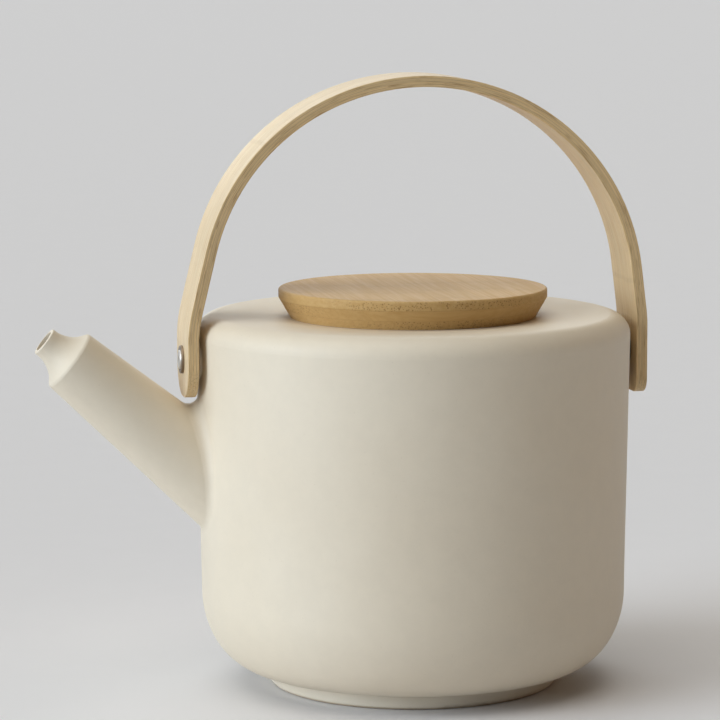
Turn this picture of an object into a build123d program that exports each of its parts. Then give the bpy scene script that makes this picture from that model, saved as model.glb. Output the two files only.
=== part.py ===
from build123d import *

import os
from math import cos, radians, sin

# Stoneware teapot with a lift-out infuser, a bamboo lid and a laminated bamboo bail handle.
# Origin at the centre of the foot's underside, +Z up, spout towards -X, handle in the XZ plane.

# Pot body
side_radius = 70.0          # just below the shoulder
base_radius = 68.6          # where the side meets the rounded bottom corner
side_top = 113.6            # where the side meets the shoulder rounding
shoulder_width = 6.5        # shoulder rounding, measured inwards
crown_height = 120.2        # highest ring of the top, just inside the shoulder
seat_height = 119.2         # flat ring that the lid rests on
seat_radius = 42.0          # outside of that flat ring
corner_width = 19.4         # bottom corner, a quarter ellipse
corner_height = 25.4
foot_radius = 46.7
foot_height = 5.3
foot_width = 6.0            # width of the foot ring
foot_rounding = 1.6
recess_height = 4.2         # underside inside the foot ring
wall = 5.0
floor_height = 11.0
roof_thickness = 5.6
cavity_shoulder = 5.0       # inside rounding below the roof
mouth_radius = 34.0
ledge_radius = 36.5         # step around the mouth that carries the infuser
ledge_depth = 2.4
lip_rounding = 0.6

# Spout: a straight cone whose tip is set slightly flatter than its root
spout_rise = 40.7           # slope of the cone, degrees above level
tip_rise = 38.5             # slope of the collar and nozzle
collar_x = -111.4           # centre of the collar
collar_z = 107.8
collar_radius = 10.3
collar_rounding = 1.2
spout_length = 72.0         # collar to the root circle, which is buried in the side
root_radius = 14.8
nozzle_length = 9.9
nozzle_radius = 4.8
cove_radius = 10.2
nozzle_rounding = 0.4
spout_blend = 3.5           # rounding where the spout meets the side
bore_nozzle = 3.6           # radii of the spout's bore
bore_collar = 7.0
bore_root = 10.5
bore_neck_start = 3.5       # the bore widens from here, measured from the collar
bore_collar_depth = 5.0

# Handle: four bamboo strips glued over each other, bent to one arch
handle_width = 25.0
strip_thickness = 0.9
strip_names = ["handle_outer_strip", "handle_outer_core", "handle_inner_core", "handle_inner_strip"]
pivot_height = 107.0
leg_reach = 75.0            # outer face of a leg from the centre plane
arch_top = 196.9
arch_shift = 1.2            # the top of the hand-bent arch sits this far away from the spout
crown_radius = 74.4         # arch radius at the top
crown_half_angle = 25.0
haunch_radius = 70.8        # arch radius between the top and the straight sides
knee_radius = 44.0          # bend between a straight side and its leg
spout_side_lean = 13.6      # slope of the straight sides, degrees from upright
far_side_lean = 7.0
spout_end_drop = 12.0       # pivot to the end of the leg; the rounder end clears the spout's root
spout_end_rounding = 11.0
far_end_drop = 13.5
far_end_rounding = 5.0
edge_rounding = 0.35

# Pivots
lug_radius = 6.5
lug_face = 70.45            # outer face of a lug from the centre plane
lug_root = 66.0
lug_rounding = 0.3
pad_radius = 6.5            # thickening on the inside of the wall
pad_face = 58.8
pad_draft = 15.0            # degrees
socket_radius = 3.25
socket_depth = 8.8
insert_radius = 3.2
insert_length = 8.4
insert_bore = 2.02
running_gap = 0.05
shank_radius = 2.0
screw_end = 62.6            # tip of the screw from the centre plane
screw_head_radius = 3.1
screw_head_height = 0.85
screw_head_rounding = 0.6
key_radius = 1.15           # to the corners of the hexagon key socket
key_depth = 0.5
bush_bore = 2.06
bush_radius = 2.8
flange_radius = 4.5
flange_thickness = 0.9
flange_rounding = 0.3
flange_pocket_radius = 3.3
flange_pocket_depth = 0.5
washer_radius = 5.8

# Lid
lid_radius = 43.3
lid_bottom_radius = 39.6
lid_thickness = 9.3
lid_band = 2.9              # height of the upright band below the top edge
lid_rounding = 0.8
lid_gap = 0.05
plug_radius = 28.6
plug_height = 8.0
plug_rounding = 0.8
groove_depth = 1.2
groove_height = 3.0
groove_bottom = 2.6         # above the plug's underside
seal_radius = 31.15
seal_band = 29.4            # outside of the seal between its two lips
seal_lip = 0.5              # thickness of a lip at its edge
lid_screw_circle = 18.0
lid_screw_count = 3
lid_screw_radius = 1.5
lid_screw_head = 3.0
lid_screw_sink = 0.3        # how far the heads sit below the plug's underside
lid_screw_length = 12.0
cross_slot = (3.2, 0.7)      # length and width of the cross recess in a screw head
driver_slot_depth = 1.2

# Infuser
sleeve_radius = 32.0
sheet = 0.6
sleeve_bottom = 26.0
rim_radius = 36.2
rim_thickness = 0.8
rim_skirt = 5.0
gasket_radius = 36.3
gasket_inner = 33.3
gasket_thickness = 1.3
base_skirt = 5.0
hole_radius = 1.1
hole_columns = 32
hole_rows = 12
hole_row_pitch = 5.6
first_hole_row = 9.0        # above the sleeve's lower edge
base_hole_rings = 5
base_hole_pitch = 5.6
base_rounding = 1.5
rim_rounding = 0.3
weld_gap = 0.02

nozzle_axis = Vector(-cos(radians(tip_rise)), 0, sin(radians(tip_rise)))
cone_axis = Vector(-cos(radians(spout_rise)), 0, sin(radians(spout_rise)))
collar_centre = Vector(collar_x, 0, collar_z)
root_centre = collar_centre - cone_axis * spout_length

corner_x = base_radius - corner_width
corner_z = foot_height + corner_height
shoulder_x = side_radius - shoulder_width
roof_underside = seat_height - roof_thickness
ledge_height = seat_height - ledge_depth

spout_end = pivot_height - spout_end_drop
far_end = pivot_height - far_end_drop
handle_thickness = len(strip_names) * strip_thickness
leg_inner = leg_reach - handle_thickness

gasket_bottom = ledge_height + lid_gap
rim_bottom = gasket_bottom + gasket_thickness
lid_bottom = seat_height + lid_gap
plug_bottom = lid_bottom - plug_height


def side_plane(side, reach):
    """Plane facing outwards at one pivot, at a reach from the centre plane; side is 1 or -1."""
    return Plane(origin=(side * reach, 0, pivot_height), x_dir=(0, 1, 0), z_dir=(side, 0, 0))


def spout_plane(centre, direction):
    """Plane across the spout."""
    return Plane(origin=centre, x_dir=(0, 1, 0), z_dir=direction)


def is_circle(edge, radius):
    """True for a round edge of the given radius."""
    return edge.geom_type == GeomType.CIRCLE and abs(edge.radius - radius) < 0.01


def finish(piece, name):
    """Label a finished piece and write it as one STEP file."""
    piece.part.label = name
    export_step(piece.part, f"parts/{name}.step")


os.makedirs("parts", exist_ok=True)

# ---------------------------------------------------------------- pot body
nozzle_plane = Plane(
    origin=collar_centre,
    x_dir=(sin(radians(tip_rise)), 0, cos(radians(tip_rise))),
    z_dir=(0, -1, 0),
)
root_plane = spout_plane(root_centre, cone_axis)

with BuildPart() as pot_body:
    # Outside of the pot, still solid
    with BuildSketch(Plane.XZ) as outside:
        with BuildLine():
            Polyline(
                (0, recess_height),
                (foot_radius - foot_width, recess_height),
                (foot_radius - foot_width, 0),
                (foot_radius, 0),
                (foot_radius, foot_height),
                (corner_x, foot_height),
            )
            EllipticalCenterArc(
                (corner_x, corner_z), corner_width, corner_height, start_angle=270, arc_size=90
            )
            Line((base_radius, corner_z), (side_radius, side_top))
            EllipticalCenterArc(
                (shoulder_x, side_top), shoulder_width, crown_height - side_top, arc_size=90
            )
            Polyline(
                (shoulder_x, crown_height),
                (seat_radius, seat_height),
                (0, seat_height),
                (0, recess_height),
            )
        make_face()
        fillet(outside.vertices().group_by(Axis.Y)[0], foot_rounding)
    revolve(axis=Axis.Z)

    # Spout cone, buried in the side and blended into it
    with BuildSketch(root_plane):
        Circle(root_radius)
    with BuildSketch(spout_plane(collar_centre, nozzle_axis)):
        Circle(collar_radius)
    loft(ruled=True)
    seam = pot_body.edges().filter_by(GeomType.BSPLINE)
    fillet(seam, spout_blend)

    # Nozzle: a cove that runs from the collar up to the thin mouth
    with BuildSketch(nozzle_plane):
        with BuildLine():
            Polyline((nozzle_radius, nozzle_length), (0, nozzle_length), (0, 0), (collar_radius, 0))
            RadiusArc((collar_radius, 0), (nozzle_radius, nozzle_length), cove_radius)
        make_face()
    revolve(axis=Axis(collar_centre, nozzle_axis))
    collar_edges = pot_body.edges().filter_by(lambda e: is_circle(e, collar_radius))
    fillet(collar_edges, collar_rounding)
    nozzle_edges = pot_body.edges().filter_by(lambda e: is_circle(e, nozzle_radius))
    fillet(nozzle_edges, nozzle_rounding)

    # Lugs that carry the handle
    for side in (1, -1):
        with BuildSketch(side_plane(side, lug_root)):
            Circle(lug_radius)
        extrude(amount=lug_face - lug_root)
    lug_edges = pot_body.edges().filter_by(lambda e: is_circle(e, lug_radius))
    fillet(lug_edges, lug_rounding)

    # Brewing chamber and mouth
    with BuildSketch(Plane.XZ) as chamber:
        with BuildLine():
            Line((0, floor_height), (corner_x, floor_height))
            EllipticalCenterArc(
                (corner_x, corner_z),
                corner_width - wall,
                corner_z - floor_height,
                start_angle=270,
                arc_size=90,
            )
            Polyline(
                (base_radius - wall, corner_z),
                (side_radius - wall, roof_underside),
                (mouth_radius, roof_underside),
                (mouth_radius, ledge_height),
                (ledge_radius, ledge_height),
                (ledge_radius, crown_height),
                (0, crown_height),
                (0, floor_height),
            )
        make_face()
        fillet(chamber.vertices().sort_by(Axis.X)[-1], cavity_shoulder)
    revolve(axis=Axis.Z, mode=Mode.SUBTRACT)
    mouth_edges = pot_body.edges().filter_by(
        lambda e: is_circle(e, mouth_radius) or is_circle(e, ledge_radius)
    )
    fillet(mouth_edges.group_by(Axis.Z)[0], lip_rounding)
    fillet(mouth_edges.group_by(Axis.Z)[-1], lip_rounding)

    # Thickened wall behind each lug
    for side in (1, -1):
        with BuildSketch(side_plane(side, pad_face)):
            Circle(pad_radius)
        extrude(amount=lug_root - pad_face, taper=-pad_draft)

    # Bore of the spout, from the mouth into the chamber
    bore_sections = [
        (collar_centre + nozzle_axis * (nozzle_length + 1), nozzle_axis, bore_nozzle),
        (collar_centre + nozzle_axis * bore_neck_start, nozzle_axis, bore_nozzle),
        (collar_centre - cone_axis * bore_collar_depth, cone_axis, bore_collar),
        (root_centre, cone_axis, bore_root),
    ]
    for centre, direction, radius in bore_sections:
        with BuildSketch(spout_plane(centre, direction)):
            Circle(radius)
    loft(ruled=True, mode=Mode.SUBTRACT)

    # Blind sockets for the threaded inserts
    for side in (1, -1):
        with BuildSketch(side_plane(side, lug_face)):
            Circle(socket_radius)
        extrude(amount=-socket_depth, mode=Mode.SUBTRACT)
finish(pot_body, "pot_body")


# ---------------------------------------------------------------- handle
def side_run(lean, reach):
    """Length of the straight part of one side, and the height at which its knee meets the leg."""
    crown_turn = radians(crown_half_angle)
    side_turn = radians(90 - lean)
    crown_run = crown_radius * sin(crown_turn)
    haunch_run = haunch_radius * (sin(side_turn) - sin(crown_turn))
    knee_run = knee_radius * (1 - sin(side_turn))
    length = (reach - crown_run - haunch_run - knee_run) / cos(side_turn)
    crown_drop = crown_radius * (1 - cos(crown_turn))
    haunch_drop = haunch_radius * (cos(crown_turn) - cos(side_turn))
    side_drop = length * sin(side_turn) + knee_radius * cos(side_turn)
    return length, arch_top - crown_drop - haunch_drop - side_drop


def arch_line(inset):
    """Draw the arch from the spout-side leg's end over the crown to the far leg's end."""
    spout_side, leg_top = side_run(spout_side_lean, leg_reach + arch_shift)
    far_side, _ = side_run(far_side_lean, leg_reach - arch_shift)
    turns = [
        (knee_radius, spout_side_lean, spout_side),
        (haunch_radius, 90 - spout_side_lean - crown_half_angle, 0),
        (crown_radius, 2 * crown_half_angle, 0),
        (haunch_radius, 90 - far_side_lean - crown_half_angle, far_side),
        (knee_radius, far_side_lean, 0),
    ]
    last = Line((inset - leg_reach, spout_end), (inset - leg_reach, leg_top))
    for radius, angle, straight in turns:
        last = JernArc(last @ 1, last % 1, radius - inset, -angle)
        if straight:
            last = Line(last @ 1, last @ 1 + last % 1 * straight)
    Line(last @ 1, (leg_reach - inset, far_end))


def rim_edges(piece, reach):
    """Edges all round the face of a strip whose legs stand at this reach from the centre plane."""
    corners = piece.edges().filter_by(
        lambda e: is_circle(e, spout_end_rounding) or is_circle(e, far_end_rounding)
    )
    return corners.filter_by(lambda e: abs(abs(e.arc_center.X) - reach) < 0.01)


for layer, strip_name in enumerate(strip_names):
    outer_inset = layer * strip_thickness
    inner_inset = outer_inset + strip_thickness
    with BuildPart() as strip:
        with BuildSketch(Plane.XZ):
            with BuildLine():
                arch_line(outer_inset)
                arch_line(inner_inset)
                Line((outer_inset - leg_reach, spout_end), (inner_inset - leg_reach, spout_end))
                Line((leg_reach - outer_inset, far_end), (leg_reach - inner_inset, far_end))
            make_face()
        extrude(amount=handle_width / 2, both=True)
        # Rounded leg ends, the lower far one last
        fillet(strip.edges().filter_by(Axis.X).group_by(Axis.Z)[1], spout_end_rounding)
        fillet(strip.edges().filter_by(Axis.X).group_by(Axis.Z)[0], far_end_rounding)
        with BuildSketch(Plane.YZ):
            with Locations((0, pivot_height)):
                Circle(bush_radius)
        extrude(amount=2 * leg_reach, both=True, mode=Mode.SUBTRACT)
        # Soft long edges on the two faces that a hand touches
        if layer == 0:
            fillet(rim_edges(strip, leg_reach), edge_rounding)
        if layer == len(strip_names) - 1:
            fillet(rim_edges(strip, leg_inner), edge_rounding)
    finish(strip, strip_name)

with BuildPart() as pivot_bushes:
    for side in (1, -1):
        with BuildSketch(side_plane(side, leg_inner)):
            Circle(bush_radius)
        extrude(amount=handle_thickness)
        with BuildSketch(side_plane(side, leg_reach)):
            Circle(flange_radius)
        extrude(amount=flange_thickness)
    rims = pivot_bushes.edges().filter_by(lambda e: is_circle(e, flange_radius))
    fillet(rims.filter_by(lambda e: abs(e.arc_center.X) > leg_reach + 0.01), flange_rounding)
    for side in (1, -1):
        with BuildSketch(side_plane(side, leg_reach + flange_thickness)):
            Circle(flange_pocket_radius)
        extrude(amount=-flange_pocket_depth, mode=Mode.SUBTRACT)
        with BuildSketch(side_plane(side, leg_inner)):
            Circle(bush_bore)
        extrude(amount=handle_thickness + flange_thickness, mode=Mode.SUBTRACT)
finish(pivot_bushes, "pivot_bushes")

# ---------------------------------------------------------------- pivots
head_face = leg_reach + flange_thickness - flange_pocket_depth + running_gap

with BuildPart() as pivot_screws:
    for side in (1, -1):
        with BuildSketch(side_plane(side, screw_end)):
            Circle(shank_radius)
        extrude(amount=head_face - screw_end)
        with BuildSketch(side_plane(side, head_face)):
            Circle(screw_head_radius)
        extrude(amount=screw_head_height)
    domes = pivot_screws.edges().filter_by(lambda e: is_circle(e, screw_head_radius))
    fillet(domes.filter_by(lambda e: abs(e.arc_center.X) > head_face + 0.01), screw_head_rounding)
    for side in (1, -1):
        with BuildSketch(side_plane(side, head_face + screw_head_height)):
            RegularPolygon(key_radius, 6)
        extrude(amount=-key_depth, mode=Mode.SUBTRACT)
finish(pivot_screws, "pivot_screws")

with BuildPart() as pivot_washers:
    for side in (1, -1):
        with BuildSketch(side_plane(side, lug_face + running_gap)):
            Circle(washer_radius)
            Circle(bush_bore, mode=Mode.SUBTRACT)
        extrude(amount=leg_inner - lug_face - 2 * running_gap)
finish(pivot_washers, "pivot_washers")

with BuildPart() as pivot_inserts:
    for side in (1, -1):
        with BuildSketch(side_plane(side, lug_face - running_gap)):
            Circle(insert_radius)
            Circle(insert_bore, mode=Mode.SUBTRACT)
        extrude(amount=-insert_length)
finish(pivot_inserts, "pivot_inserts")

# ---------------------------------------------------------------- lid
with BuildPart() as lid_disc:
    with BuildSketch(Plane.XZ) as lid_section:
        with BuildLine():
            Polyline(
                (0, lid_bottom),
                (lid_bottom_radius, lid_bottom),
                (lid_radius, lid_bottom + lid_thickness - lid_band),
                (lid_radius, lid_bottom + lid_thickness),
                (0, lid_bottom + lid_thickness),
                close=True,
            )
        make_face()
        fillet(lid_section.vertices().group_by(Axis.X)[-1], lid_rounding)
    revolve(axis=Axis.Z)
    pilot_depth = lid_screw_length + lid_screw_sink - plug_height
    with BuildSketch(Plane.XY.offset(lid_bottom)):
        with PolarLocations(lid_screw_circle, lid_screw_count):
            Circle(lid_screw_radius)
    extrude(amount=pilot_depth, mode=Mode.SUBTRACT)
finish(lid_disc, "lid_disc")

with BuildPart() as lid_plug:
    with BuildSketch(Plane.XY.offset(plug_bottom)):
        Circle(plug_radius)
    extrude(amount=plug_height)
    fillet(lid_plug.edges().group_by(Axis.Z)[0], plug_rounding)
    with BuildSketch(Plane.XY.offset(plug_bottom + groove_bottom)):
        Circle(plug_radius)
        Circle(plug_radius - groove_depth, mode=Mode.SUBTRACT)
    extrude(amount=groove_height, mode=Mode.SUBTRACT)
    with Locations(Plane.XY.offset(plug_bottom).rotated((180, 0, 0))):
        with PolarLocations(lid_screw_circle, lid_screw_count):
            CounterSinkHole(lid_screw_radius, lid_screw_head + lid_screw_sink, plug_height, 90)
finish(lid_plug, "lid_plug")

seal_inner = plug_radius - groove_depth + lid_gap
seal_bottom = plug_bottom + groove_bottom + lid_gap
seal_top = plug_bottom + groove_bottom + groove_height - lid_gap

with BuildPart() as lid_seal:
    with BuildSketch(Plane.XZ):
        with BuildLine():
            Polyline(
                (seal_inner, seal_bottom),
                (seal_band, seal_bottom),
                (seal_radius, seal_bottom + seal_lip),
                (seal_radius, seal_bottom + 2 * seal_lip),
                (seal_band, (seal_bottom + seal_top) / 2),
                (seal_radius, seal_top - seal_lip),
                (seal_radius, seal_top),
                (seal_inner, seal_top),
                close=True,
            )
        make_face()
    revolve(axis=Axis.Z)
finish(lid_seal, "lid_seal")

# Countersunk wood screws, driven up through the plug into the disc
screw_bottom = plug_bottom + lid_screw_sink
screw_head = lid_screw_head - lid_gap
screw_shank = lid_screw_radius - lid_gap
upwards = (Align.CENTER, Align.CENTER, Align.MIN)

with BuildPart() as lid_screws:
    with Locations(Plane.XY.offset(screw_bottom)):
        with PolarLocations(lid_screw_circle, lid_screw_count):
            Cone(screw_head, screw_shank, screw_head - screw_shank, align=upwards)
            Cylinder(screw_shank, lid_screw_length, align=upwards)
            for length, width in (cross_slot, cross_slot[::-1]):
                Box(length, width, driver_slot_depth, align=upwards, mode=Mode.SUBTRACT)
    chamfer(lid_screws.edges().group_by(Axis.Z)[-1], screw_shank / 2)
finish(lid_screws, "lid_screws")

# ---------------------------------------------------------------- infuser
rim_top = rim_bottom + rim_thickness
rim_inner = sleeve_radius + weld_gap

with BuildPart() as infuser_sleeve:
    with BuildSketch(Plane.XY.offset(sleeve_bottom)):
        Circle(sleeve_radius)
        Circle(sleeve_radius - sheet, mode=Mode.SUBTRACT)
    extrude(amount=rim_top - sleeve_bottom)
    column_angle = 360 / hole_columns
    for row in range(hole_rows):
        height = sleeve_bottom + first_hole_row + row * hole_row_pitch
        stagger = column_angle / 2 * (row % 2)
        with Locations(Plane.XY.offset(height)):
            with PolarLocations(sleeve_radius, hole_columns, start_angle=stagger):
                Cylinder(hole_radius, 4 * sheet, rotation=(0, 90, 0), mode=Mode.SUBTRACT)
finish(infuser_sleeve, "infuser_sleeve")

base_radius_outer = sleeve_radius - sheet - weld_gap
with BuildPart() as infuser_base:
    with BuildSketch(Plane.XY.offset(sleeve_bottom)):
        Circle(base_radius_outer)
    extrude(amount=base_skirt)
    fillet(infuser_base.edges().group_by(Axis.Z)[0], base_rounding)
    offset(amount=-sheet, openings=infuser_base.faces().sort_by(Axis.Z)[-1])
    with Locations(Plane.XY.offset(sleeve_bottom)):
        Cylinder(hole_radius, 4 * sheet, mode=Mode.SUBTRACT)
        for ring in range(1, base_hole_rings):
            with PolarLocations(ring * base_hole_pitch, 6 * ring):
                Cylinder(hole_radius, 4 * sheet, mode=Mode.SUBTRACT)
finish(infuser_base, "infuser_base")

with BuildPart() as infuser_rim:
    with BuildSketch(Plane.XZ) as rim_section:
        with BuildLine():
            Polyline(
                (rim_inner, rim_bottom - rim_skirt),
                (rim_inner + sheet, rim_bottom - rim_skirt),
                (rim_inner + sheet, rim_bottom),
                (rim_radius, rim_bottom),
                (rim_radius, rim_top),
                (rim_inner, rim_top),
                close=True,
            )
        make_face()
        fillet(rim_section.vertices().group_by(Axis.X)[-1], rim_rounding)
    revolve(axis=Axis.Z)
finish(infuser_rim, "infuser_rim")

with BuildPart() as infuser_gasket:
    with BuildSketch(Plane.XZ) as gasket_section:
        with BuildLine():
            Polyline(
                (gasket_inner, gasket_bottom),
                (gasket_radius, gasket_bottom),
                (gasket_radius, rim_bottom - weld_gap),
                (gasket_inner, rim_bottom - weld_gap),
                close=True,
            )
        make_face()
        fillet(gasket_section.vertices(), rim_rounding)
    revolve(axis=Axis.Z)
finish(infuser_gasket, "infuser_gasket")
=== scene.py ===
"""Stoneware teapot with a bamboo lid and bail handle: looks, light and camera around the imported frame."""

import math

import bpy
from mathutils import Matrix, Vector


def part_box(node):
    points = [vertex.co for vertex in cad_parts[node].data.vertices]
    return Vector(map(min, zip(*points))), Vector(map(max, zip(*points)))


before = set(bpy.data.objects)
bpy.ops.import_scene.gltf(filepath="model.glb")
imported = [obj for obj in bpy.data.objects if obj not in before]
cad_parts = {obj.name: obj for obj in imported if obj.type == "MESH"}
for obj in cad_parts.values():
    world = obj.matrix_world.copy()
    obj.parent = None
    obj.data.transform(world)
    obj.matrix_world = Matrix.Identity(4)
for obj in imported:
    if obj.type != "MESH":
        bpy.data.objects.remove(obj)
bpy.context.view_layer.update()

MM = 0.001
NOISE_MIDDLE = 0.5

# Sockets of Blender's Mix node, for numbers and for colours
MIX_SHARE = 0
MIX_NUMBERS = (2, 3)
MIX_COLOURS = (6, 7)
MIX_NUMBER_OUT = 0
MIX_COLOUR_OUT = 2

# Shape of the bamboo arch, in millimetres, for the grain that follows it
CROWN_RADIUS = 74.4
CROWN_HALF_ANGLE = math.radians(25.0)
HAUNCH_RADIUS = 70.8
KNEE_RADIUS = 44.0
ARCH_SHIFT = 1.2
SPOUT_SIDE_LEAN = math.radians(13.6)
FAR_SIDE_LEAN = math.radians(7.0)
STRIPS = ("handle_outer_strip", "handle_outer_core", "handle_inner_core", "handle_inner_strip")

# Grain of the handle's strips, in millimetres, and how tan each strip is from the outside in
FIRST_RUN = 11.0
RUN_BETWEEN_STRIPS = 37.0
STRIP_KNUCKLE_SPACING = 92.0
STRIP_TAN = (0.0, 0.55, 0.35, 0.50)

# Make-up of the bamboo boards, in millimetres, and where the lid's cross ply starts and ends in its height
STAVE_WIDTH = 14.0
RUN_BETWEEN_STAVES = 300.0
BOARD_KNUCKLE_SPACING = 21.0
PLY_START = 0.30
PLY_END = 0.66
PLY_BLUR = 0.03
PLY_OFFSET = 400.0


# ---------------------------------------------------------------- node helpers
class Graph:
    """The node tree of one material, with a short call for each node that is used here."""

    def __init__(self, name):
        self.material = bpy.data.materials.new(name)
        self.material.use_nodes = True
        self.nodes = self.material.node_tree.nodes
        self.links = self.material.node_tree.links
        self.nodes.clear()
        self.output = self.nodes.new("ShaderNodeOutputMaterial")
        self.shader = self.nodes.new("ShaderNodeBsdfPrincipled")
        self.links.new(self.shader.outputs["BSDF"], self.output.inputs["Surface"])

    def feed(self, socket, value):
        """Link a socket to the value, or set it when the value is a number or a colour."""
        if isinstance(value, bpy.types.NodeSocket):
            self.links.new(value, socket)
        else:
            socket.default_value = value

    def finish(self, **inputs):
        """Feed the named inputs of the main shader and return the material."""
        for name, value in inputs.items():
            title = name.replace("_", " ").title().replace("Ior", "IOR")
            self.feed(self.shader.inputs[title], value)
        return self.material

    def math(self, operation, a, b=0.0):
        node = self.nodes.new("ShaderNodeMath")
        node.operation = operation
        self.feed(node.inputs[0], a)
        self.feed(node.inputs[1], b)
        return node.outputs[0]

    def add(self, a, b):
        return self.math("ADD", a, b)

    def sub(self, a, b):
        return self.math("SUBTRACT", a, b)

    def mul(self, a, b):
        return self.math("MULTIPLY", a, b)

    def size(self, value):
        """The value without its sign."""
        return self.math("ABSOLUTE", value)

    def either(self, a, b):
        """The larger of two masks."""
        return self.math("MAXIMUM", a, b)

    def inverse(self, mask):
        return self.sub(1.0, mask)

    def step(self, value, start, end):
        """0 before start, 1 after end, smooth in between; start may be the higher one."""
        node = self.nodes.new("ShaderNodeMapRange")
        node.interpolation_type = "SMOOTHSTEP"
        low, high = sorted((start, end))
        self.feed(node.inputs["Value"], value)
        node.inputs["From Min"].default_value = low
        node.inputs["From Max"].default_value = high
        node.inputs["To Min"].default_value = 0.0 if start < end else 1.0
        node.inputs["To Max"].default_value = 1.0 if start < end else 0.0
        return node.outputs["Result"]

    def band(self, value, centre, half_width, softness):
        """1 within half_width of the centre, fading out over the softness."""
        distance = self.size(self.sub(value, centre))
        return self.step(distance, half_width + softness, half_width)

    def lerp(self, share, a, b):
        """The number a where share is 0 and b where it is 1."""
        node = self.nodes.new("ShaderNodeMix")
        self.feed(node.inputs[MIX_SHARE], share)
        for socket, value in zip(MIX_NUMBERS, (a, b)):
            self.feed(node.inputs[socket], value)
        return node.outputs[MIX_NUMBER_OUT]

    def ramp(self, value, over, gives):
        """The first number given below the range that the ramp is over, and the second above it."""
        return self.lerp(self.step(value, *over), *gives)

    def waver(self, value, noise, by):
        """The value with noise added, by that much from the lowest to the highest."""
        return self.add(value, self.mul(self.sub(noise, NOISE_MIDDLE), by))

    def blend(self, share, a, b):
        """The colour a where share is 0 and b where it is 1."""
        node = self.nodes.new("ShaderNodeMix")
        node.data_type = "RGBA"
        self.feed(node.inputs[MIX_SHARE], share)
        for socket, value in zip(MIX_COLOURS, (a, b)):
            self.feed(node.inputs[socket], value)
        return node.outputs[MIX_COLOUR_OUT]

    def stain(self, base, mask, stained, share):
        """The base colour, with a share of the stained one where the mask is 1."""
        return self.blend(self.mul(mask, share), base, stained)

    def tint(self, base, brightness):
        """A colour times a number."""
        node = self.nodes.new("ShaderNodeVectorMath")
        node.operation = "SCALE"
        self.feed(node.inputs[0], base[:3] if isinstance(base, tuple) else base)
        self.feed(node.inputs["Scale"], brightness)
        return node.outputs[0]

    def position(self):
        """Place on the object in millimetres, as x, y and z."""
        source = self.nodes.new("ShaderNodeTexCoord")
        return self.split(self.tint(source.outputs["Object"], 1 / MM))

    def normal(self):
        """The surface's own direction in the piece's frame, as x, y and z."""
        source = self.nodes.new("ShaderNodeTexCoord")
        return self.split(source.outputs["Normal"])

    def split(self, vector):
        node = self.nodes.new("ShaderNodeSeparateXYZ")
        self.feed(node.inputs[0], vector)
        return tuple(node.outputs)

    def join(self, *parts):
        node = self.nodes.new("ShaderNodeCombineXYZ")
        for socket, part in zip(node.inputs, parts):
            self.feed(socket, part)
        return node.outputs[0]

    def stretch(self, place, density):
        """A place with each of its parts times its own density, as one vector."""
        return self.join(*[self.mul(part, rate) for part, rate in zip(place, density)])

    def noise(self, vector, scale=1.0, detail=2.0, roughness=0.5):
        """Fractal noise around the middle of 0 to 1."""
        node = self.nodes.new("ShaderNodeTexNoise")
        self.feed(node.inputs["Vector"], vector)
        node.inputs["Scale"].default_value = scale
        node.inputs["Detail"].default_value = detail
        node.inputs["Roughness"].default_value = roughness
        return node.outputs[0]

    def cells(self, vector, scale):
        """Distance to the nearest of a scatter of points."""
        node = self.nodes.new("ShaderNodeTexVoronoi")
        node.feature = "F1"
        self.feed(node.inputs["Vector"], vector)
        node.inputs["Scale"].default_value = scale
        return node.outputs[0]

    def edge_mask(self, radius_mm):
        """1 on edges sharper than the radius, 0 on flat and gently curved surface."""
        flat_cosine = 0.995
        sharp_cosine = 0.80
        rounded = self.nodes.new("ShaderNodeBevel")
        rounded.samples = 6
        rounded.inputs["Radius"].default_value = radius_mm * MM
        source = self.nodes.new("ShaderNodeNewGeometry")
        node = self.nodes.new("ShaderNodeVectorMath")
        node.operation = "DOT_PRODUCT"
        self.feed(node.inputs[0], rounded.outputs[0])
        self.feed(node.inputs[1], source.outputs["Normal"])
        return self.step(node.outputs["Value"], flat_cosine, sharp_cosine)

    def bump(self, height, depth_mm, below=None):
        """A surface raised by height (0 to 1) times the depth, on top of another bump."""
        node = self.nodes.new("ShaderNodeBump")
        node.inputs["Distance"].default_value = depth_mm * MM
        self.feed(node.inputs["Height"], height)
        if below is not None:
            self.feed(node.inputs["Normal"], below)
        return node.outputs[0]


def paint(material, *node_names):
    """Give CAD nodes their material."""
    for name in node_names:
        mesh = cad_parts[name].data
        if mesh.materials:
            for index in range(len(mesh.materials)):
                mesh.materials[index] = material
        else:
            mesh.materials.append(material)


def colour(red, green, blue):
    return (red, green, blue, 1.0)


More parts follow.
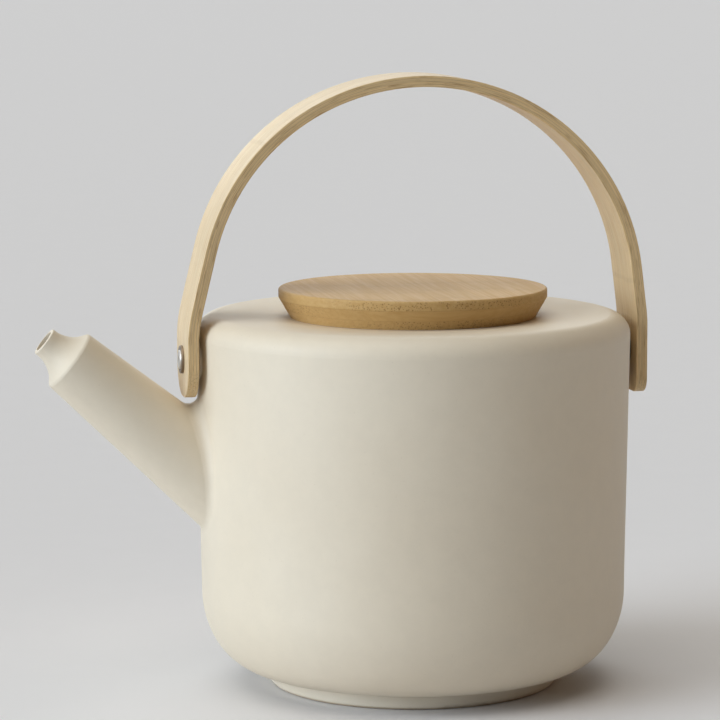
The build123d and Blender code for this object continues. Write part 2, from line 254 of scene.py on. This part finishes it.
# ---------------------------------------------------------------- stoneware
def stoneware():
    """Matt cream glaze, faintly mottled and specked, that stops just above the bare foot ring."""
    g = Graph("stoneware_glaze")
    x, y, z = g.position()
    place = g.join(x, y, z)
    bare_height = 0.7
    bare_fade = 0.35
    foot_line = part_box("pot_body")[0].z / MM + bare_height

    drift = g.noise(place, scale=0.018)
    mottle = g.noise(place, scale=0.16, detail=4.0, roughness=0.62)
    grain = g.noise(place, scale=1.6, detail=3.0, roughness=0.6)
    speck = g.step(g.cells(place, scale=0.30), 0.075, 0.02)
    edge = g.edge_mask(radius_mm=0.9)
    bare = g.step(z, foot_line + bare_fade, foot_line - bare_fade)

    glaze = g.blend(g.step(drift, 0.3, 0.7), colour(0.762, 0.672, 0.528), colour(0.776, 0.692, 0.552))
    glaze = g.tint(glaze, g.ramp(mottle, over=(0.25, 0.75), gives=(0.982, 1.012)))
    glaze = g.stain(glaze, speck, colour(0.47, 0.38, 0.27), share=0.22)
    glaze = g.stain(glaze, edge, colour(0.70, 0.60, 0.47), share=0.22)
    bare_clay = g.blend(grain, colour(0.50, 0.39, 0.27), colour(0.60, 0.48, 0.34))
    surface = g.blend(bare, glaze, bare_clay)

    bare_roughness = 0.3
    roughness = g.ramp(mottle, over=(0.3, 0.7), gives=(0.50, 0.58))
    roughness = g.add(roughness, g.mul(bare, bare_roughness))
    roughness = g.waver(roughness, grain, by=0.10)
    waves = g.bump(g.noise(place, scale=0.045, detail=1.5, roughness=0.4), depth_mm=0.30)
    skin = g.bump(g.noise(place, scale=0.55, detail=3.0, roughness=0.55), depth_mm=0.035, below=waves)
    fine = g.bump(grain, depth_mm=0.012, below=skin)
    return g.finish(base_color=surface, roughness=roughness, normal=fine)


# ---------------------------------------------------------------- bamboo handle
def half_arch_centres(top, reach, lean):
    """Centres of the crown's, the haunch's and the knee's arc, and the length of the straight side."""
    offset = CROWN_RADIUS - HAUNCH_RADIUS
    crown_z = top - CROWN_RADIUS
    haunch_x = offset * math.sin(CROWN_HALF_ANGLE)
    haunch_z = crown_z + offset * math.cos(CROWN_HALF_ANGLE)
    side_width = reach - haunch_x - HAUNCH_RADIUS * math.cos(lean) - KNEE_RADIUS * (1 - math.cos(lean))
    straight = side_width / math.sin(lean)
    knee_x = reach - KNEE_RADIUS
    knee_z = haunch_z + (HAUNCH_RADIUS - KNEE_RADIUS) * math.sin(lean) - straight * math.cos(lean)
    return (0.0, crown_z), (haunch_x, haunch_z), (knee_x, knee_z), straight


def around(g, out, z, centre, radius):
    """Angle from straight up about an arc's centre, and depth in from the arc."""
    dx = g.sub(out, centre[0])
    dz = g.sub(z, centre[1])
    distance = g.math("SQRT", g.add(g.mul(dx, dx), g.mul(dz, dz)))
    return g.math("ARCTAN2", dx, dz), g.sub(radius, distance)


def half_arch_place(g, out, z, top, reach, lean):
    """Distance along one half of the arch and in from its outer face, in millimetres.

    out is the distance sideways from the arch's top, reach is out at the leg's outer face.
    """
    crown, haunch, knee, straight = half_arch_centres(top, reach, lean)
    crown_angle, crown_depth = around(g, out, z, crown, CROWN_RADIUS)
    haunch_angle, haunch_depth = around(g, out, z, haunch, HAUNCH_RADIUS)
    knee_depth = around(g, out, z, knee, KNEE_RADIUS)[1]
    from_haunch_x = g.sub(out, haunch[0])
    from_haunch_z = g.sub(z, haunch[1])
    down = g.sub(g.mul(from_haunch_x, math.sin(lean)), g.mul(from_haunch_z, math.cos(lean)))
    outwards = g.add(g.mul(from_haunch_x, math.cos(lean)), g.mul(from_haunch_z, math.sin(lean)))

    in_haunch = g.math("GREATER_THAN", crown_angle, CROWN_HALF_ANGLE)
    in_side = g.math("GREATER_THAN", down, 0.0)
    in_knee = g.math("GREATER_THAN", down, straight)
    in_leg = g.math("LESS_THAN", z, knee[1])

    haunch_start = CROWN_RADIUS * CROWN_HALF_ANGLE
    side_start = haunch_start + HAUNCH_RADIUS * (math.pi / 2 - lean - CROWN_HALF_ANGLE)
    along_haunch = g.add(g.mul(g.sub(haunch_angle, CROWN_HALF_ANGLE), HAUNCH_RADIUS), haunch_start)
    along = g.lerp(in_haunch, g.mul(crown_angle, CROWN_RADIUS), along_haunch)
    along = g.lerp(in_side, along, g.add(down, side_start))
    depth = g.lerp(in_haunch, crown_depth, haunch_depth)
    depth = g.lerp(in_side, depth, g.sub(HAUNCH_RADIUS, outwards))
    depth = g.lerp(in_knee, depth, knee_depth)
    depth = g.lerp(in_leg, depth, g.sub(reach, out))
    return along, depth


def arch_place(g):
    """Distance along the handle's arch, across it, and in from its outer face, in millimetres."""
    x, y, z = g.position()
    lo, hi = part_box("handle_outer_strip")
    top = hi.z / MM
    far_reach = hi.x / MM - ARCH_SHIFT
    spout_reach = ARCH_SHIFT - lo.x / MM
    out = g.sub(x, ARCH_SHIFT)
    on_far_side = g.math("GREATER_THAN", out, 0.0)
    far_along, far_depth = half_arch_place(g, out, z, top, far_reach, FAR_SIDE_LEAN)
    spout_out = g.mul(out, -1.0)
    spout_along, spout_depth = half_arch_place(g, spout_out, z, top, spout_reach, SPOUT_SIDE_LEAN)
    along = g.lerp(on_far_side, g.mul(spout_along, -1.0), far_along)
    depth = g.lerp(on_far_side, spout_depth, far_depth)
    return along, y, depth


def glue_lines(g, depth):
    """Thin lines where the handle's strips meet."""
    outer_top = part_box(STRIPS[0])[1].z
    next_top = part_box(STRIPS[1])[1].z
    thickness = (outer_top - next_top) / MM
    joints = range(1, len(STRIPS))
    lines = [g.band(depth, joint * thickness, half_width=0.035, softness=0.07) for joint in joints]
    glue = lines[0]
    for line in lines[1:]:
        glue = g.either(glue, line)
    return glue


def bamboo_strip(layer):
    """Laminated bamboo; every strip has its own tone and its own run of fibres."""
    g = Graph(f"bamboo_strip_{layer}")
    along, across, depth = arch_place(g)
    run = g.add(along, RUN_BETWEEN_STRIPS * layer + FIRST_RUN)
    place = (run, across, depth)

    fibre = g.noise(g.stretch(place, (0.030, 1.1, 1.6)), detail=4.0, roughness=0.62)
    thread = g.noise(g.stretch(place, (0.055, 4.2, 5.5)))
    dash = g.step(g.noise(g.stretch(place, (0.16, 3.0, 4.5)), detail=1.0, roughness=0.4), 0.60, 0.70)
    cloud = g.noise(g.join(g.mul(run, 0.02), g.mul(across, 0.08), 0.0))
    on_edge = g.step(g.size(g.normal()[1]), 0.45, 0.85)
    knuckle_wave = g.math("PINGPONG", g.waver(run, cloud, by=3.0), STRIP_KNUCKLE_SPACING)
    knuckle = g.band(knuckle_wave, STRIP_KNUCKLE_SPACING / 2, half_width=0.35, softness=0.9)
    glue = glue_lines(g, depth)

    pale = colour(0.805, 0.655, 0.430)
    warm = colour(0.715, 0.525, 0.300)
    tan = colour(0.720, 0.500, 0.225)
    dark = colour(0.300, 0.155, 0.050)
    # Lighter edge colour: edge wear and a painted highlight
    wear_and_highlight = colour(0.78, 0.66, 0.46)
    edge_tan = 0.68
    thread_shade = g.lerp(on_edge, 0.91, 0.80)
    wood = g.blend(g.step(fibre, 0.30, 0.74), warm, pale)
    wood = g.blend(g.either(g.mul(on_edge, edge_tan), STRIP_TAN[layer]), wood, tan)
    wood = g.tint(wood, g.ramp(cloud, over=(0.3, 0.7), gives=(0.95, 1.04)))
    wood = g.tint(wood, g.ramp(thread, over=(0.25, 0.75), gives=(thread_shade, 1.05)))
    wood = g.stain(wood, dash, dark, share=g.lerp(on_edge, 0.14, 0.66))
    wood = g.stain(wood, knuckle, dark, share=0.12)
    wood = g.stain(wood, g.mul(glue, on_edge), dark, share=0.55)
    # Lighter edges: edge wear and a painted highlight along the strips' edges
    wood = g.stain(wood, g.edge_mask(radius_mm=0.7), wear_and_highlight, share=0.22)

    dash_roughness = 0.12
    roughness = g.ramp(fibre, over=(0.3, 0.7), gives=(0.50, 0.40))
    roughness = g.add(roughness, g.mul(dash, dash_roughness))
    relief = g.bump(fibre, depth_mm=0.05)
    relief = g.bump(thread, depth_mm=0.03, below=relief)
    relief = g.bump(g.inverse(g.either(dash, glue)), depth_mm=0.05, below=relief)
    relief = g.bump(knuckle, depth_mm=0.04, below=relief)
    return g.finish(base_color=wood, roughness=roughness, normal=relief)


# ---------------------------------------------------------------- bamboo boards
def stave_tone(g, across):
    """A fixed number from 0 to 1 for each stave, scattered by the fraction of a large sine."""
    turn_per_stave = 12.9898
    sine_height = 43.758
    stave = g.math("FLOOR", g.math("DIVIDE", across, STAVE_WIDTH))
    sine = g.math("SINE", g.mul(stave, turn_per_stave))
    return g.math("FRACT", g.mul(sine, sine_height))


def board_grain(g, place, plies):
    """Where the cross ply is, the place along and across the fibres, and each stave's tone."""
    x, y, z = place
    in_ply = 0.0
    if plies:
        low, high = plies
        half_height = (high - low) / 2 - PLY_BLUR
        in_ply = g.band(z, (low + high) / 2, half_height, softness=2 * PLY_BLUR)
    along = g.lerp(in_ply, y, x)
    across = g.lerp(in_ply, x, g.add(y, PLY_OFFSET))
    tone = stave_tone(g, across)
    run = g.add(along, g.mul(tone, RUN_BETWEEN_STAVES))
    return in_ply, run, across, tone


def end_grain_dots(g, place):
    """Round fibre bundles of several sizes, as they show where the fibres are cut across."""
    bundle_place = g.stretch(place, (0.035, 1.0, 1.0))
    bundle = g.cells(bundle_place, scale=1.45)
    bundle_size = g.noise(bundle_place, scale=0.8, detail=1.0)
    size_range = 0.5
    spread = g.mul(g.sub(bundle_size, NOISE_MIDDLE), size_range)
    return g.step(g.sub(bundle, spread), 0.36, 0.22)


def bamboo_board(name, plies=None):
    """Bamboo board with fibres front to back; between two heights it may have a cross ply, side to side."""
    g = Graph(name)
    x, y, z = g.position()
    in_ply, run, across, tone = board_grain(g, (x, y, z), plies)
    place = (run, across, z)

    fibre = g.noise(g.stretch(place, (0.028, 0.9, 0.9)), detail=4.0, roughness=0.62)
    thread = g.noise(g.stretch(place, (0.05, 3.6, 3.6)))
    normal_x, normal_y, normal_z = g.normal()
    upright = g.step(g.size(normal_z), 0.9, 0.6)
    end_grain = g.step(g.lerp(in_ply, g.size(normal_y), g.size(normal_x)), 0.55, 0.95)
    dot = g.mul(end_grain_dots(g, place), end_grain)
    knuckle_wave = g.math("PINGPONG", g.add(run, g.mul(fibre, 2.0)), BOARD_KNUCKLE_SPACING)
    knuckle = g.mul(g.band(knuckle_wave, 10.0, half_width=0.4, softness=2.6), g.inverse(upright))
    seam = g.step(g.math("PINGPONG", across, STAVE_WIDTH / 2), 0.08, 0.0)

    pale = colour(0.632, 0.418, 0.180)
    warm = colour(0.572, 0.360, 0.138)
    dark = colour(0.180, 0.088, 0.022)
    # Lighter edge colour: edge wear and a painted highlight
    wear_and_highlight = colour(0.72, 0.56, 0.36)
    # Painted sheen: the lid's top is painted from 0.94 at the front to 1.10 at the back, in place of the
    # bright grazing reflection there
    painted_back_sheen = g.ramp(y, over=(-40.0, 44.0), gives=(0.94, 1.10))
    wood = g.blend(g.step(fibre, 0.28, 0.76), warm, pale)
    wood = g.tint(wood, g.lerp(tone, 0.975, 1.025))
    wood = g.tint(wood, g.ramp(thread, over=(0.25, 0.75), gives=(0.98, 1.02)))
    # The top takes the painted sheen towards the back; the sides are a flat 0.93
    wood = g.tint(wood, g.lerp(upright, painted_back_sheen, 0.93))
    wood = g.stain(wood, knuckle, dark, share=0.06)
    wood = g.stain(wood, dot, dark, share=0.55)
    wood = g.stain(wood, seam, dark, share=0.12)
    if plies:
        low_line, high_line = [g.band(z, height, PLY_BLUR, softness=0.07) for height in plies]
        ply_line = g.either(low_line, high_line)
        wood = g.stain(wood, g.mul(ply_line, upright), dark, share=0.18)
    # Lighter edges: edge wear and a painted highlight along the board's edges
    wood = g.stain(wood, g.edge_mask(radius_mm=0.9), wear_and_highlight, share=0.45)

    end_grain_roughness = 0.12
    roughness = g.ramp(fibre, over=(0.3, 0.7), gives=(0.56, 0.48))
    roughness = g.add(roughness, g.mul(end_grain, end_grain_roughness))
    relief = g.bump(fibre, depth_mm=0.04)
    relief = g.bump(thread, depth_mm=0.02, below=relief)
    relief = g.bump(g.inverse(dot), depth_mm=0.06, below=relief)
    return g.finish(base_color=wood, roughness=roughness, specular_ior_level=0.18, normal=relief)


def lid_plies():
    """Heights between which the lid's cross ply lies, in millimetres."""
    lo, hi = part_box("lid_disc")
    height = hi.z - lo.z
    return (lo.z + height * PLY_START) / MM, (lo.z + height * PLY_END) / MM


# ---------------------------------------------------------------- metal, nylon and silicone
def brushed_metal(name, bright, dull, roughness_range, line_density):
    """Metal with fine lines; their density is along x, y and z."""
    g = Graph(name)
    place = g.position()
    lines = g.noise(g.stretch(place, line_density), detail=3.0, roughness=0.6)
    smudge = g.noise(g.join(*place), scale=0.12, detail=3.0, roughness=0.6)
    tone = g.stain(bright, g.step(smudge, 0.3, 0.75), dull, share=0.5)
    tone = g.tint(tone, g.ramp(lines, over=(0.2, 0.8), gives=(0.96, 1.03)))
    tone = g.stain(tone, g.edge_mask(radius_mm=0.25), g.tint(bright, 1.12), share=0.5)
    roughness = g.waver(g.ramp(smudge, over=(0.3, 0.7), gives=roughness_range), lines, by=0.10)
    relief = g.bump(lines, depth_mm=0.003)
    return g.finish(base_color=tone, roughness=roughness, metallic=1.0, normal=relief)


def soft_plastic(name, base, wear_and_highlight, roughness, specular):
    """Moulded nylon or silicone with a fine matt skin."""
    g = Graph(name)
    place = g.join(*g.position())
    cloud = g.noise(place, scale=0.15, detail=3.0, roughness=0.6)
    skin = g.noise(place, scale=2.4, detail=3.0, roughness=0.6)
    tone = g.blend(g.step(cloud, 0.25, 0.8), base, wear_and_highlight)
    tone = g.stain(tone, g.edge_mask(radius_mm=0.3), wear_and_highlight, share=0.4)
    relief = g.bump(skin, depth_mm=0.02)
    rough = g.waver(roughness, skin, by=0.16)
    return g.finish(base_color=tone, roughness=rough, specular_ior_level=specular, normal=relief)


def paint_metals():
    """Paint the steel, bronze and brass pieces."""
    steel = (colour(0.70, 0.685, 0.655), colour(0.60, 0.585, 0.555))
    bronze = (colour(0.270, 0.215, 0.160), colour(0.190, 0.145, 0.100))
    brass = (colour(0.70, 0.52, 0.24), colour(0.55, 0.38, 0.16))
    turned = (2.0, 6.0, 6.0)
    rolled = (0.5, 0.5, 9.0)
    knurled = (7.0, 1.0, 1.0)
    screw_steel = brushed_metal("pivot_steel", *steel, roughness_range=(0.34, 0.44), line_density=turned)
    bush_bronze = brushed_metal("bush_bronze", *bronze, roughness_range=(0.30, 0.42), line_density=turned)
    sheet_steel = brushed_metal("infuser_steel", *steel, roughness_range=(0.30, 0.35), line_density=rolled)
    insert_brass = brushed_metal("insert_brass", *brass, roughness_range=(0.28, 0.40), line_density=knurled)
    paint(screw_steel, "pivot_screws", "lid_screws")
    paint(bush_bronze, "pivot_bushes")
    paint(sheet_steel, "infuser_sleeve", "infuser_base", "infuser_rim")
    paint(insert_brass, "pivot_inserts")


def paint_plastics():
    """Paint the nylon washers and the silicone rings."""
    nylon = (colour(0.07, 0.05, 0.035), colour(0.12, 0.09, 0.065))
    silicone = (colour(0.76, 0.74, 0.69), colour(0.70, 0.67, 0.61))
    washer_nylon = soft_plastic("washer_nylon", *nylon, roughness=0.5, specular=0.4)
    seal_silicone = soft_plastic("seal_silicone", *silicone, roughness=0.55, specular=0.35)
    paint(washer_nylon, "pivot_washers")
    paint(seal_silicone, "lid_seal", "infuser_gasket")


def paint_all():
    """Give every CAD node its finished material."""
    paint(stoneware(), "pot_body")
    for layer, strip in enumerate(STRIPS):
        paint(bamboo_strip(layer), strip)
    paint(bamboo_board("bamboo_lid_board", lid_plies()), "lid_disc")
    paint(bamboo_board("bamboo_plug_board"), "lid_plug")
    paint_metals()
    paint_plastics()


# ---------------------------------------------------------------- stage, light and camera
def grey_floor():
    """A very large pale grey floor that fills the picture behind the pot."""
    half = 40.0
    mesh = bpy.data.meshes.new("studio_floor")
    corners = [(-half, -half, 0.0), (half, -half, 0.0), (half, half, 0.0), (-half, half, 0.0)]
    mesh.from_pydata(corners, [], [(0, 1, 2, 3)])
    floor = bpy.data.objects.new("studio_floor", mesh)
    bpy.context.scene.collection.objects.link(floor)
    g = Graph("studio_paper")
    fleck = g.noise(g.join(*g.position()), scale=0.05, detail=3.0, roughness=0.6)
    tone = g.tint(colour(0.818, 0.815, 0.832), g.lerp(fleck, 0.99, 1.01))
    mesh.materials.append(g.finish(base_color=tone, roughness=0.9, specular_ior_level=0.1))


def sun(name, azimuth, elevation, strength, tint, spread):
    """A wide soft light; azimuth 0 stands behind the camera side (-Y) and 90 at the right (+X)."""
    light = bpy.data.lights.new(name, "SUN")
    light.energy = strength
    light.color = tint
    light.angle = math.radians(spread)
    lamp = bpy.data.objects.new(name, light)
    turn = math.radians(azimuth)
    rise = math.radians(elevation)
    level = math.cos(rise)
    towards = Vector((math.sin(turn) * level, -math.cos(turn) * level, math.sin(rise)))
    lamp.rotation_mode = "QUATERNION"
    lamp.rotation_quaternion = towards.to_track_quat("Z", "Y")
    bpy.context.scene.collection.objects.link(lamp)


def backdrop(lit, seen):
    """A pale wall all round: it shows and mirrors at the seen strength and lights at the lit one."""
    world = bpy.data.worlds.new("studio_wall")
    world.use_nodes = True
    nodes = world.node_tree.nodes
    links = world.node_tree.links
    path = nodes.new("ShaderNodeLightPath")
    choice = nodes.new("ShaderNodeMix")
    for socket, strength in zip(MIX_NUMBERS, (seen, lit)):
        choice.inputs[socket].default_value = strength
    links.new(path.outputs["Is Diffuse Ray"], choice.inputs[MIX_SHARE])
    links.new(choice.outputs[MIX_NUMBER_OUT], nodes["Background"].inputs["Strength"])
    nodes["Background"].inputs["Color"].default_value = colour(1.0, 1.0, 1.0)
    bpy.context.scene.world = world


def light_all():
    """A large low light on the left, a soft one overhead, one behind and a faint warm one on the right."""
    sun("key_left", azimuth=-77, elevation=13, strength=3.0, tint=(0.79, 0.89, 1.0), spread=48)
    sun("overhead", azimuth=-50, elevation=76, strength=1.3, tint=(1.0, 0.94, 0.84), spread=60)
    sun("behind", azimuth=180, elevation=32, strength=0.80, tint=(0.90, 0.97, 1.0), spread=60)
    sun("fill_right", azimuth=95, elevation=16, strength=0.22, tint=(1.0, 0.58, 0.28), spread=60)
    backdrop(lit=0.005, seen=0.52)


def camera():
    """Camera to the left of the front, a little above the lid, aimed just below the middle of the pot."""
    azimuth = math.radians(-11.96)
    pitch = math.radians(8.21)
    distance = 1.101
    aim_height = 0.0905
    sideways = -0.0155
    upwards = 0.0128

    forward = Vector((-math.sin(azimuth), math.cos(azimuth), 0.0))
    right = Vector((math.cos(azimuth), math.sin(azimuth), 0.0))
    look = forward * math.cos(pitch) - Vector((0, 0, math.sin(pitch)))
    up = right.cross(look)
    aim = (look + right * sideways + up * upwards).normalized()
    right = aim.cross(up).normalized()
    up = right.cross(aim)

    data = bpy.data.cameras.new("camera")
    data.lens = 170.1
    data.sensor_width = 36.0
    data.clip_start = 0.05
    data.clip_end = 200.0
    body = bpy.data.objects.new("camera", data)
    bpy.context.scene.collection.objects.link(body)
    body.rotation_mode = "QUATERNION"
    body.rotation_quaternion = Matrix((right, up, -aim)).transposed().to_quaternion()
    body.location = Vector((0, 0, aim_height)) - look * distance
    bpy.context.scene.camera = body


paint_all()
grey_floor()
light_all()
camera()
bpy.context.scene.view_settings.view_transform = "Standard"
